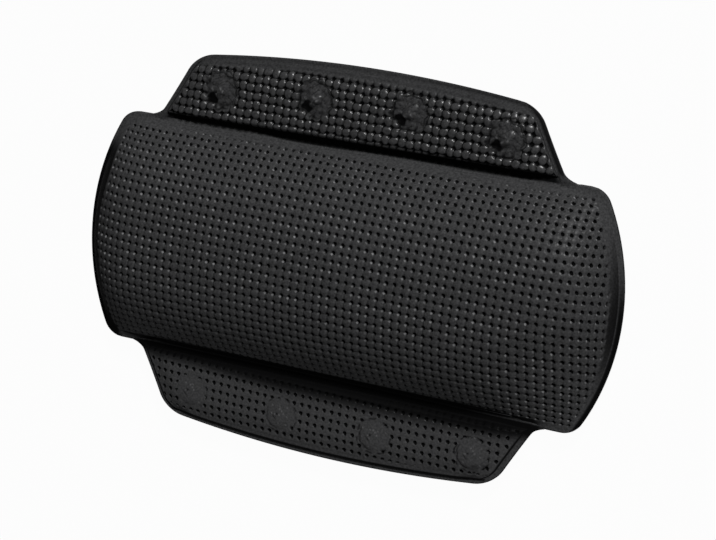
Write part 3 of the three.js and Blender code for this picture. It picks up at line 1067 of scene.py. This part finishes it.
def lower_low_places(points):
    x = points[:, 0]
    edge, to_side, on_tip, y = flap_edge(points, -1)
    line = np.exp(-(((edge - RIM) / (0.95 * MM)) ** 4)) * (on_tip | (x < 0)) * ease(66 * MM, 68 * MM, y)
    shade = ease(-90 * MM, -20 * MM, x) * MM
    groove = ease(62.6 * MM, 63.6 * MM, y) * ease(-5 * MM, -1 * MM, to_side)
    groove = groove * ease(75.5 * MM + 4.0 * shade, 67.4 * MM + 2.2 * shade, y)
    return np.maximum(0.96 * line, 0.97 * groove)


note_dark(upper_flap_cover, upper_low_places)
note_dark(lower_flap_cover, lower_low_places)

# %% [markdown]
# ## The backs
# The back of the pillow is a plain sheet of vinyl, welded to the cover all round. It bulges a little
# under the foam, and the weld shows as a shallow line near the edge. The pad's back is laid and
# rimmed like the cover, only facing down.

# %% The pad's back
BACK_EDGE = [
    (0.3, 0.12), (0.62, 0.10), (0.85, 0.22), (1.0, 0.55), (1.0, 1.1), (0.96, 1.44), (0.85, 1.48),
]
BACK_INSET, BACK_WALL = 1.5 * MM, 1.0 * MM
PAD_BULGE, FLAP_BULGE = 1.3 * MM, 0.35 * MM


def back_level(x, y, to_edge, bulge):
    wave = np.sin(x / MM * 0.047 + 1.3) * np.sin(y / MM * 0.083 + 0.4) * 0.16 * MM
    weld = 0.5 * MM * ring_line(to_edge, 5.0 * MM, 0.9 * MM)
    return BACK + weld - (bulge + wave) * ease(5.5 * MM, 26 * MM, to_edge)


back_columns = np.arange(1.0 - LAST_COLUMN, LAST_COLUMN + 1)
back_rows = np.arange(1.0 - LAST_ROW, LAST_ROW + 1)
x, y = pad_plan(back_columns, back_rows, fan(26, 1.2), fan(14, 1.1))
to_edge = np.minimum(from_end(x, y), HALF_WIDTH - np.abs(y))
back_points = np.stack([x, y, back_level(x, y, to_edge, PAD_BULGE)], axis=2)
pad_back = lay_sheet("pad_back", back_points)
extrude_rings(pad_back, pad_rings(edge_ring(back_points), BACK_EDGE, BACK))
smaller = [1 - BACK_INSET / HALF_LENGTH, 1 - BACK_INSET / HALF_WIDTH, 1]
line_inside(pad_back, back_points * smaller + [0, 0, BACK_WALL])

# %% [markdown]
# A flap's back runs from the pad's edge across the hinge, where it is pressed thin, to the flap's own
# edge. Round each cup's neck the vinyl is welded into a flat ring.

# %% A flap's back


def flap_back(name):
    hinge_rows, face_rows = np.arange(63.1, 69, 0.5), np.arange(69.5, 100.6, 1.1)
    rows = np.concatenate([hinge_rows, face_rows, np.arange(101, 104.9, 0.5)]) * MM
    x, y = flap_plan(rows, np.arange(-54, 55) * 1.5 * MM, fan(26, 1.3))
    to_edge = np.minimum(to_flap_side(x, y), TIP - y)
    to_edge = np.minimum(to_edge, np.maximum(y - ROOT, 0) + RIM)
    z = back_level(x, y, to_edge, FLAP_BULGE)
    z = z + 0.45 * MM * (1 - ease(0.4 * MM, 2.0 * MM, np.abs(y - ROOT)))
    flat_points = np.stack([x, y, z], axis=2)
    points = bowed(flat_points)
    for centre in cup_centres:
        r = np.hypot(points[..., 0] - centre.x, points[..., 1] - centre.y)
        flat = 1 - ease(9.5 * MM, 12 * MM, r)
        weld = 0.4 * MM * ring_line(r, 10 * MM, 0.9 * MM)
        points[..., 2] += (BACK - points[..., 2]) * flat + weld
    back = lay_sheet(name, points)
    extrude_rings(back, flap_rings(edge_ring(flat_points), edge_ring(points), BACK_EDGE, BACK, False))
    line_inside(back, points * [1 - BACK_INSET / ROOT_HALF, 1, 1] + [0, 0, BACK_WALL])
    return back


upper_flap_back = flap_back("upper_flap_back")

# %% [markdown]
# The holes for the cups' necks are cut with cylinders, by a Boolean modifier that is applied. The
# back with its holes is then copied and turned for the lower flap, whose cups lie half a turn round.

# %% The holes for the necks, and the lower flap's back
HOLE, PUNCH = 4.2 * MM, 6 * MM


def cut_neck_holes(piece):
    for centre in cup_centres:
        bpy.ops.object.select_all(action="DESELECT")
        place = (*centre, BACK)
        bpy.ops.mesh.primitive_cylinder_add(vertices=48, radius=HOLE, depth=PUNCH, location=place)
        punch = bpy.context.object
        bpy.context.view_layer.objects.active = piece
        hole = piece.modifiers.new("neck_hole", "BOOLEAN")
        hole.operation, hole.solver, hole.object = "DIFFERENCE", "EXACT", punch
        bpy.ops.object.modifier_apply(modifier=hole.name)
        bpy.data.objects.remove(punch)


def copy_piece(piece, name):
    make_active(piece)
    bpy.ops.object.duplicate()
    copy = bpy.context.object
    copy.name = copy.data.name = name
    return copy


cut_neck_holes(upper_flap_back)
make_active(upper_flap_back)
bpy.ops.object.shade_smooth_by_angle(angle=math.radians(40))
lower_flap_back = copy_piece(upper_flap_back, "lower_flap_back")
turn_half_round(lower_flap_back)
print("flap back faces with holes:", len(upper_flap_back.data.polygons))

# %% [markdown]
# ## The suction cups
# A cup is moulded in one piece from soft vinyl: a hollow bell with a thin lip, a neck that passes
# through the flap's back, and a button head that holds it there. Its profile is listed from the top
# of the hollow, round the lip and up to the button, as radius and height in millimetres.

# %% The profile of a cup
BELL_HOLLOW, BELL_EDGE = 14.2, 16
bell_in = [(r, 7 - 6.75 * (r / BELL_HOLLOW) ** 3) for r in np.linspace(0, BELL_HOLLOW, 15)]
lip = [(14.6, 0.05), (15.2, 0), (15.6, 0.03), (15.9, 0.2), (16, 0.5), (15.95, 0.85), (15.75, 1.15)]
bell_out = [(r, 9 - 8.1 * (r / BELL_EDGE) ** 3) for r in np.linspace(15.3, 5.8, 13)]
neck = [
    (5.5, 8.85), (5.1, 9.0), (4.3, 9.06), (3.95, 9.2),
    (3.8, 9.5), (3.8, 10.5), (3.8, 11.5), (3.9, 11.8),
]
head = [
    (4.2, 11.95), (6, 12), (8.1, 12), (8.4, 12.15),
    (8.5, 12.4), (8.5, 12.8), (8.4, 13.05), (8.1, 13.2),
]
button = [
    (5.4, 13.22), (5.05, 13.35), (4.8, 13.6), (3.9, 14.5),
    (3.6, 14.72), (3.2, 14.8), (1.6, 14.8), (0, 14.8),
]
profile = np.array(bell_in + lip + bell_out + neck + head + button) * MM
print("points of the cup's profile:", len(profile))

# %% [markdown]
# The cup is round, so the profile is turned about its axis on a sheet that goes once round. The first
# and last column meet, and so do the points at both poles. Merging them closes the shape.

# %% One suction cup
TURN_STEPS = 64
turns = np.linspace(0, 2 * math.pi, TURN_STEPS + 1)
radius, height = profile[:, :1], profile[:, 1:]
cup_points = np.stack([radius * np.cos(turns), radius * np.sin(turns), height + 0 * turns], axis=2)
cup = lay_sheet("cup", cup_points)
bpy.ops.object.mode_set(mode="EDIT")
bpy.ops.mesh.select_all(action="SELECT")
bpy.ops.mesh.remove_doubles(threshold=1e-6)
bpy.ops.mesh.normals_make_consistent(inside=False)
bpy.ops.object.mode_set(mode="OBJECT")
bpy.ops.object.shade_smooth_by_angle(angle=math.radians(50))
print("cup faces:", len(cup.data.polygons))

# %% [markdown]
# All eight cups come from the same mould, so the one cup is copied, each copy with its own mesh, and
# moved to the place of its solid. The pattern is removed at the end.

# %% Eight copies of the cup
cups = {}
for side in ("upper", "lower"):
    for k in range(1, 5):
        low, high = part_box(f"{side}_suction_cup_{k}")
        copy = copy_piece(cup, f"{side}_cup_{k}_moulded")
        copy.location = ((low.x + high.x) / 2, (low.y + high.y) / 2, low.z)
        bpy.ops.object.transform_apply(location=True, rotation=False, scale=False)
        cups[side, k] = copy
bpy.data.objects.remove(cup)
print("cups:", len(cups))

# %% [markdown]
# ## The foam
# The foam can't be seen, but it is a piece of the pillow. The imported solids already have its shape
# and its pockets for the cups' heads, so each is copied. Foam gives way to its cover: at the slumped
# corner the pad's foam is pulled in and lowered, and the ends of the flaps' foams are pressed down.

# %% Where the foam gives way
FOAM_IN_X, FOAM_IN_Y, FOAM_ROOM = 7 * MM, 6 * MM, 4.5 * MM
FOAM_LEAST, FOAM_BASE = 0.4 * MM, 0.5 * MM
END_FROM, END_TO, END_DROP, END_ABOVE = 76 * MM, 92 * MM, 0.8 * MM, 13 * MM


def slump_foam(foam):
    bottom = min(corner.co.z for corner in foam.data.vertices)
    for corner in foam.data.vertices:
        soft = slump(corner.co.x, corner.co.y)
        raised = corner.co.z > bottom + FOAM_BASE
        corner.co.x -= FOAM_IN_X * soft
        corner.co.y += FOAM_IN_Y * soft
        if soft > 0 and raised:
            top = pad_height(corner.co.x, corner.co.y) - FOAM_ROOM
            corner.co.z = max(min(corner.co.z, top), bottom + FOAM_LEAST)


def press_ends(foam):
    for corner in foam.data.vertices:
        if corner.co.z > END_ABOVE:
            corner.co.z -= END_DROP * ease(END_FROM, END_TO, abs(corner.co.x))


print("foam pulled in by mm:", FOAM_IN_X / MM, FOAM_IN_Y / MM)

# %% [markdown]
# A solid's mesh is loose triangles, so the corners of the copies are merged, and pairs of triangles
# are joined to quads before the foams are shaded.

# %% The foam pieces
FOAMS = (
    ("pad_foam", "pad_foam_core", slump_foam),
    ("upper_foam", "upper_flap_foam", press_ends),
    ("lower_foam", "lower_flap_foam", press_ends),
)
foams = {}
for name, node, give_way in FOAMS:
    foam = copy_piece(bpy.data.objects[node], name)
    give_way(foam)
    bpy.ops.object.mode_set(mode="EDIT")
    bpy.ops.mesh.select_all(action="SELECT")
    bpy.ops.mesh.remove_doubles(threshold=1e-6)
    bpy.ops.mesh.tris_convert_to_quads()
    bpy.ops.object.mode_set(mode="OBJECT")
    bpy.ops.object.shade_smooth_by_angle(angle=math.radians(35))
    foams[name] = foam
print("foams:", sorted(foams))

# %% [markdown]
# ## Finishes
# All finishes are made of nodes. One helper starts a material. Another adds a node and takes, for each
# of its inputs, either a plain value or the output that feeds it, which saves a line for each link.

# %% Helpers for nodes


def start_finish(name):
    finish = bpy.data.materials.new(name)
    finish.use_nodes = True
    nodes = finish.node_tree.nodes
    return finish, nodes, nodes["Principled BSDF"]


def feed(node, inputs):
    for key, value in inputs.items():
        if isinstance(value, bpy.types.NodeSocket):
            node.id_data.links.new(value, node.inputs[key])
        else:
            node.inputs[key].default_value = value


def add_node(nodes, kind, inputs, **settings):
    node = nodes.new(kind)
    for key, value in settings.items():
        setattr(node, key, value)
    feed(node, inputs)
    return node


# %% [markdown]
# The front vinyl is a dull charcoal with a fine mottle of two tones, which a noise and a ramp give.
# The noise reads Object coordinates, so that it keeps to the piece when it moves. The notes that the
# sheets keep are point attributes, which an Attribute node reads.

# %% The charcoal of the embossed vinyl
CHARCOAL_DARK, CHARCOAL_PALE = (0.0225, 0.0226, 0.0233), (0.0510, 0.0512, 0.0524)


def add_pattern(nodes, kind, output, **inputs):
    place = add_node(nodes, "ShaderNodeTexCoord", {}).outputs["Object"]
    return add_node(nodes, kind, {"Vector": place, **inputs}).outputs[output]


def add_tones(nodes, pattern, low, high, dark, pale):
    ramp = add_node(nodes, "ShaderNodeValToRGB", {"Fac": pattern})
    first, last = ramp.color_ramp.elements
    first.position, last.position = low, high
    first.color, last.color = (*dark, 1), (*pale, 1)
    return ramp.outputs["Color"]


vinyl, nodes, shader = start_finish("embossed_vinyl")
mottle = add_pattern(nodes, "ShaderNodeTexNoise", "Fac", Scale=900.0, Detail=3.0)
charcoal = add_tones(nodes, mottle, 0.3, 0.7, CHARCOAL_DARK, CHARCOAL_PALE)
noted = {}
for name in ("shown", "hollow", "polish", "wear", "glint"):
    noted[name] = add_node(nodes, "ShaderNodeAttribute", {}, attribute_name=name).outputs["Fac"]
numbers = add_node(nodes, "ShaderNodeAttribute", {}, attribute_name="weave").outputs["Vector"]
print("notes read by the vinyl:", sorted(noted))

# %% [markdown]
# Shade is painted into the pits, nearly black and with sharper edges than the relief can give, so the
# spots are drawn from the weave numbers. The fraction of a number says how far a place is from the
# nearest pit. The spots are longer one way, because the strands pull the pits askew.

# %% A spot of painted shade at each pit
LONG_WAY, SHORT_WAY = (0.58, -0.58, 0), (0.88, 0.88, 0)


def add_vector(nodes, operation, *vectors, output="Vector"):
    inputs = dict(enumerate(vectors))
    return add_node(nodes, "ShaderNodeVectorMath", inputs, operation=operation).outputs[output]


def add_range(nodes, value, **limits):
    inputs = {key.replace("_", " ").title(): limit for key, limit in limits.items()}
    return add_node(nodes, "ShaderNodeMapRange", {"Value": value, **inputs}).outputs["Result"]


def beside_pits(shift):
    """The weave numbers, moved so that a place beside each pit lies in the middle of a square."""
    return add_vector(nodes, "ADD", numbers, (0.5 - shift[0], 0.5 - shift[1], 0))


def add_spots(shift, small, large):
    """1 within a small distance, in strands, of each pit moved by a shift, and 0 beyond a large one."""
    part = add_vector(nodes, "FRACTION", beside_pits(shift))
    centred = add_vector(nodes, "SUBTRACT", part, (0.5, 0.5, 0))
    over = add_vector(nodes, "DOT_PRODUCT", centred, LONG_WAY, output="Value")
    down = add_vector(nodes, "DOT_PRODUCT", centred, SHORT_WAY, output="Value")
    flat = add_node(nodes, "ShaderNodeCombineXYZ", {"X": over, "Y": down}).outputs["Vector"]
    far = add_vector(nodes, "LENGTH", flat, output="Value")
    return add_range(nodes, far, from_min=small, from_max=large, to_min=1.0, to_max=0.0)


pit_spots = add_spots((0.02, 0.02), 0.20, 0.26)
print("nodes so far:", len(nodes))

# %% [markdown]
# The pits and all other noted places get their painted shade here. Beside most pits, a highlight is
# painted on a speck of the rim, and white noise on the pit's own number says how much. The other
# painted light and highlights are added, but not in the painted shade.

# %% The painted shade of the pits and the painted highlights of the vinyl
SHADE_BLACK, PAINTED_LIGHT_PALE = (0.0008, 0.0008, 0.0009, 1), (0.16, 0.16, 0.163, 1)
SPECK_SHIFT = (-0.19, -0.18)


def work_out(nodes, operation, first, second):
    """The result of a Math node, kept between 0 and 1."""
    inputs = {0: first, 1: second}
    return add_node(nodes, "ShaderNodeMath", inputs, operation=operation, use_clamp=True).outputs[0]


def add_mix(nodes, share, first, second):
    inputs = {"Factor": share, "A": first, "B": second}
    return add_node(nodes, "ShaderNodeMix", inputs, data_type="RGBA").outputs["Result"]


seen_pits = work_out(nodes, "MULTIPLY", pit_spots, noted["shown"])
shade_share = work_out(nodes, "MAXIMUM", seen_pits, noted["hollow"])
in_light = work_out(nodes, "SUBTRACT", 1.0, shade_share)
pit_number = add_vector(nodes, "FLOOR", beside_pits(SPECK_SHIFT))
chance = add_node(nodes, "ShaderNodeTexWhiteNoise", {"Vector": pit_number}).outputs["Value"]
how_much = add_range(nodes, chance, from_min=0.15, to_max=1.0)
specks = work_out(nodes, "MULTIPLY", add_spots(SPECK_SHIFT, 0.07, 0.15), how_much)
pit_rim_highlights = work_out(nodes, "MULTIPLY", specks, noted["wear"])
painted_lights = work_out(nodes, "MULTIPLY", noted["glint"], in_light)
palest = work_out(nodes, "MAXIMUM", pit_rim_highlights, painted_lights)
# Painted shade: the pits and all noted shade are mixed towards near black.
with_shade = add_mix(nodes, shade_share, charcoal, SHADE_BLACK)
# Painted highlights and painted light are mixed in towards a pale grey.
colour = add_mix(nodes, palest, with_shade, PAINTED_LIGHT_PALE)
print("nodes so far:", len(nodes))

# %% [markdown]
# The vinyl itself is dull. Where touch has polished it, as on the beads of the upper flap, a thin coat
# gives it a soft shine. A fine grain is added as a bump, because it is far too small to model.

# %% The sheen and the grain of the vinyl


def add_bump(nodes, pattern, strength, distance):
    inputs = {"Height": pattern, "Strength": strength, "Distance": distance}
    return add_node(nodes, "ShaderNodeBump", inputs).outputs["Normal"]


def paint(pieces, finish):
    for piece in pieces:
        piece.data.materials.clear()
        piece.data.materials.append(finish)
    print(finish.name, "on", len(pieces), "pieces,", len(finish.node_tree.nodes), "nodes")


grain = add_pattern(nodes, "ShaderNodeTexNoise", "Fac", Scale=1500.0, Detail=3.0)
feed(shader, {
    "Base Color": colour,
    "Normal": add_bump(nodes, grain, 0.3, 0.0003),
    "Coat Weight": work_out(nodes, "MULTIPLY", noted["polish"], in_light),
    "Coat Roughness": 0.3,
    "Roughness": 0.75,
    "Specular IOR Level": 0.05,
})
covers = (pad_cover, upper_flap_cover, lower_flap_cover)
paint(covers, vinyl)

# %% [markdown]
# The back is the same vinyl without the weave. It has a fine leathery grain, a bit of it lighter where
# hands and foam have rubbed it.

# %% The back vinyl
back_vinyl, nodes, shader = start_finish("back_vinyl")
cloud = add_pattern(nodes, "ShaderNodeTexNoise", "Fac", Scale=28.0, Detail=5.0)
leather = add_pattern(nodes, "ShaderNodeTexVoronoi", "Distance", Scale=900.0)
feed(shader, {
    "Base Color": add_tones(nodes, cloud, 0.35, 0.7, (0.022, 0.0222, 0.023), (0.030, 0.0302, 0.031)),
    "Normal": add_bump(nodes, leather, 0.35, 0.0004),
    "Roughness": 0.5,
    "Specular IOR Level": 0.4,
})
backs = (pad_back, upper_flap_back, lower_flap_back)
paint(backs, back_vinyl)

# %% [markdown]
# The cups are soft glossy vinyl, a touch darker than the sheets. A faint smear in the gloss keeps
# them from looking like glass.

# %% The cups' vinyl
soft_pvc, nodes, shader = start_finish("soft_pvc")
smear = add_pattern(nodes, "ShaderNodeTexNoise", "Fac", Scale=60.0, Detail=3.0)
feed(shader, {
    "Base Color": (0.020, 0.0202, 0.021, 1),
    "Roughness": add_range(nodes, smear, to_min=0.2, to_max=0.36),
})
paint(cups.values(), soft_pvc)

# %% [markdown]
# The foam is a pale beige grey with open cells, which a Voronoi pattern gives well enough for a piece
# inside a cover.

# %% The foam
foam_finish, nodes, shader = start_finish("foam")
cells = add_pattern(nodes, "ShaderNodeTexVoronoi", "Distance", Scale=700.0)
feed(shader, {
    "Base Color": add_tones(nodes, cells, 0.0, 0.6, (0.30, 0.29, 0.27), (0.52, 0.50, 0.46)),
    "Roughness": 0.9,
})
paint(foams.values(), foam_finish)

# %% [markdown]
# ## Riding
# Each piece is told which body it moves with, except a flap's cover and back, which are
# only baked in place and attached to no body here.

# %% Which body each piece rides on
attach(pad_cover, "pad")
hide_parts("pad_front_cover")
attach(pad_back, "pad")
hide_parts("pad_back_sheet")
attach(foams["pad_foam"], "pad")
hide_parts("pad_foam_core")
folding = {
    "upper": (upper_flap_cover, upper_flap_back, 1),
    "lower": (lower_flap_cover, lower_flap_back, -1),
}
for side, (cover, back, way) in folding.items():
    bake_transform(cover)
    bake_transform(back)
    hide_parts(f"{side}_flap_front_cover", f"{side}_weld_web")
    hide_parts(f"{side}_flap_back_sheet")
    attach(foams[f"{side}_foam"], f"{side}_flap")
    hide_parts(f"{side}_flap_foam")
for (side, k), copy in cups.items():
    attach(copy, f"{side}_cup_{k}")
    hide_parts(f"{side}_suction_cup_{k}")
print("flaps that fold:", len(folding), "cups that float:", len(cups))

# %% [markdown]
# Here the pieces are only counted.

# %% Count of the pieces
print("pieces:", len(covers) + len(backs) + len(cups) + len(foams))

# %% [markdown]
# ## The stage
# The photograph has a pure white ground. A floor that was lit to white would throw too much light
# back on the black vinyl, so the floor is a grey paper that glows white for the camera's own rays.
# A small share of the paper still shows, and with it a faint shadow.

# %% Floor
FLOOR_GLOW = 0.97

bpy.ops.object.select_all(action="DESELECT")
bpy.ops.mesh.primitive_plane_add(size=12)
floor = bpy.context.object
floor.name = "floor"
paper, nodes, shader = start_finish("floor_paper")
feed(shader, {"Base Color": (0.30, 0.30, 0.30, 1), "Roughness": 0.9})
glow = add_node(nodes, "ShaderNodeEmission", {"Strength": 1.0}).outputs["Emission"]
seen = add_node(nodes, "ShaderNodeLightPath", {}).outputs["Is Camera Ray"]
share = work_out(nodes, "MULTIPLY", seen, FLOOR_GLOW)
mix = add_node(nodes, "ShaderNodeMixShader", {"Fac": share, 1: shader.outputs["BSDF"], 2: glow})
feed(nodes["Material Output"], {"Surface": mix.outputs["Shader"]})
paint([floor], paper)

# %% [markdown]
# The room is dim for the object and white for the camera. A lamp beyond the far edge of the pillow
# gives the top-lit look of the photograph, with a dark foot, and a weak lamp low in front lifts the
# lower slope a little.

# %% Room and lamps
ROOM_LIGHT, LAMP_AWAY, LAMP_SIZE = 0.11, 3.2, 0.6

world = bpy.data.worlds.new("room")
bpy.context.scene.world = world
world.use_nodes = True
nodes = world.node_tree.nodes
seen = add_node(nodes, "ShaderNodeLightPath", {}).outputs["Is Camera Ray"]
brightness = add_range(nodes, seen, to_min=ROOM_LIGHT, to_max=1.0)
feed(nodes["Background"], {"Strength": brightness, "Color": (1, 1, 1, 1)})


def soft_lamp(name, toward, power):
    lamp = bpy.data.lights.new(name, "AREA")
    lamp.shape, lamp.size, lamp.energy = "DISK", LAMP_SIZE, power
    holder = bpy.data.objects.new(name, lamp)
    holder.location = Vector(toward).normalized() * LAMP_AWAY
    holder.rotation_euler = Vector(toward).to_track_quat("Z", "Y").to_euler()
    bpy.context.scene.collection.objects.link(holder)
    print(name, "W:", power)


soft_lamp("top_lamp", (0.32, 0.71, 0.62), 107.0)
soft_lamp("fill_lamp", (0.4, -0.9, 0.13), 24.0)

# %% [markdown]
# The camera looks from above and a little to the right, as in the photograph. Its place and its turn
# were found from the outline and from the places of nearly two thousand pits. A last small turn of
# the aim brings the pillow to its place in the picture.

# %% Camera
PLACE = Vector((0.43191, 0.20542, 0.96886))
AIM_RIGHT, AIM_UP = 0.00704, 0.00128

toward = Vector((0.40246, 0.19256, 0.89496)).normalized()
up = Vector((-0.17389, 0.97591, -0.13178))
right = up.cross(toward).normalized()
up = toward.cross(right)
aim = (toward - right * AIM_RIGHT + up * AIM_UP).normalized()
side = up.cross(aim).normalized()
turn = Matrix((side, aim.cross(side), aim)).transposed()
camera = bpy.data.objects.new("camera", bpy.data.cameras.new("camera"))
camera.data.lens = 99.7
camera.data.sensor_width = 36.0
camera.matrix_world = Matrix.Translation(PLACE) @ turn.to_4x4()
bpy.context.scene.collection.objects.link(camera)
bpy.context.scene.camera = camera
bpy.context.scene.view_settings.view_transform = "Standard"
print("camera at mm:", [round(v / MM) for v in PLACE], "lens mm:", round(camera.data.lens, 1))
